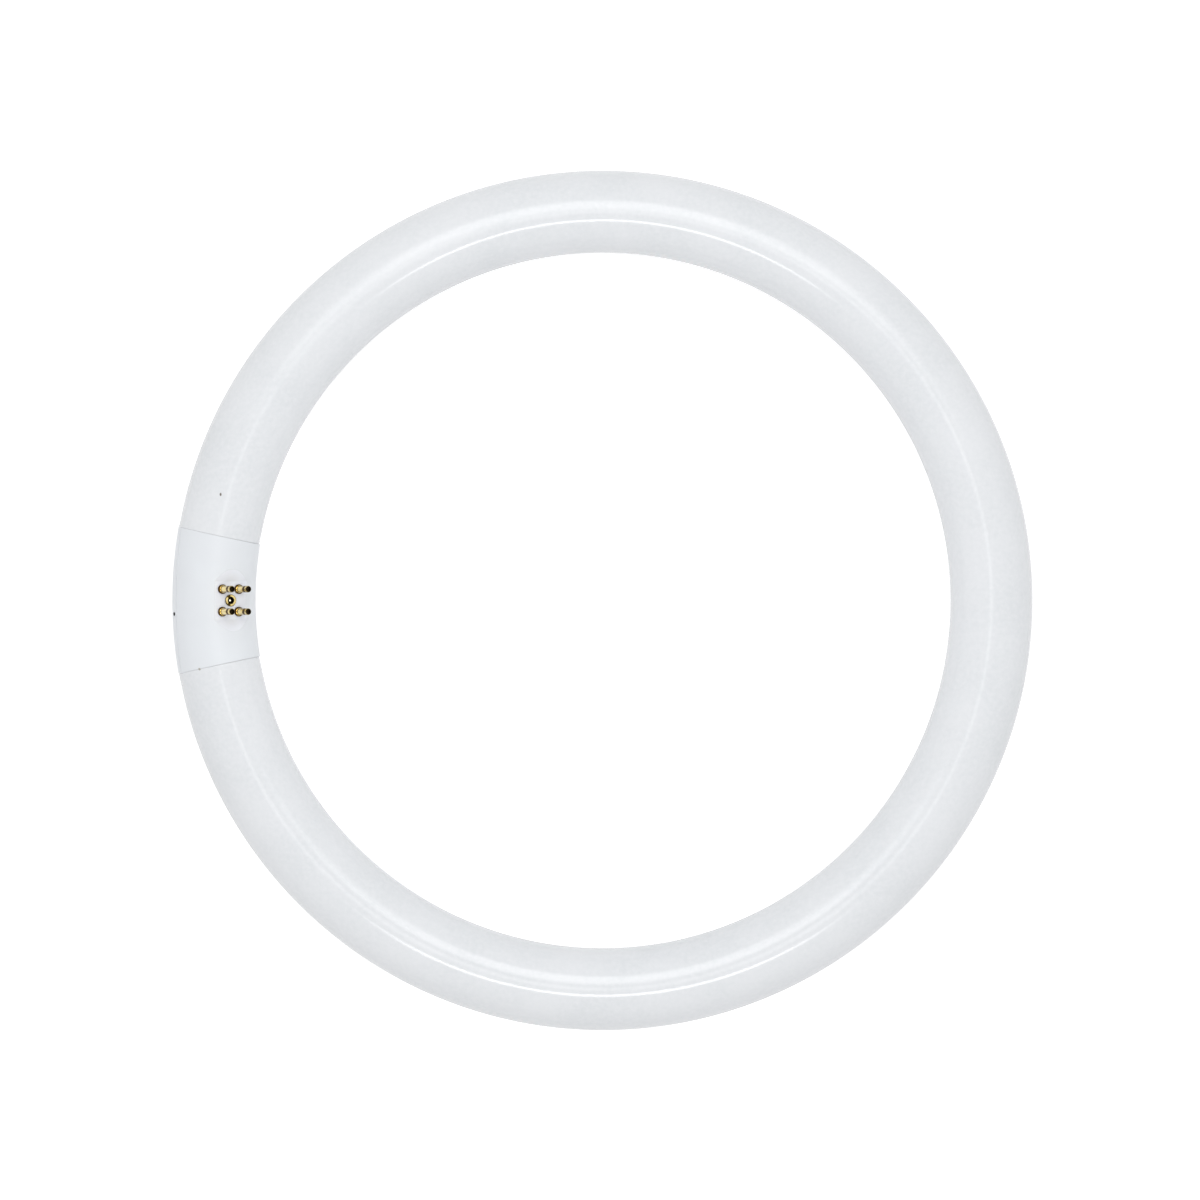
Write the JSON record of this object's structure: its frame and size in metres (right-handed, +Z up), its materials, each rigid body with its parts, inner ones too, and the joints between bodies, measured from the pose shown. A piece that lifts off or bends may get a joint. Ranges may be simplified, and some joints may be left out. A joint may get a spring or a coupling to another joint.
{
  "type": "circular fluorescent tube",
  "caption": "Ring-shaped white fluorescent lamp of sealed coated glass, closed by a riveted plastic cap with brass contact pins.",
  "frame": {"origin": "centre of the ring, on the surface that the lamp lies on", "axes": "+Z up along the ring's axis, the cap on the -X side, +Y along the tube at the cap"},
  "size_m": [0.3052, 0.3048, 0.0355],
  "materials": {
    "coated_glass": "smooth clear glass over white powder coat",
    "cap_plastic": "moulded, semi-gloss",
    "rivet_brass": "drawn and rolled",
    "pin_brass": "drawn, slightly tarnished",
    "lead_metal": "bare drawn wire"
  },
  "bodies": {
    "root": {"glass_tube": "coated_glass", "cap_pin_shell": "cap_plastic", "cap_back_shell": "cap_plastic", "cap_rivet": "rivet_brass", "contact_pin_1": "pin_brass", "contact_pin_2": "pin_brass", "contact_pin_3": "pin_brass", "contact_pin_4": "pin_brass", "lead_wire_1": "lead_metal", "lead_wire_2": "lead_metal", "lead_wire_3": "lead_metal", "lead_wire_4": "lead_metal"}
  },
  "joints": []
}
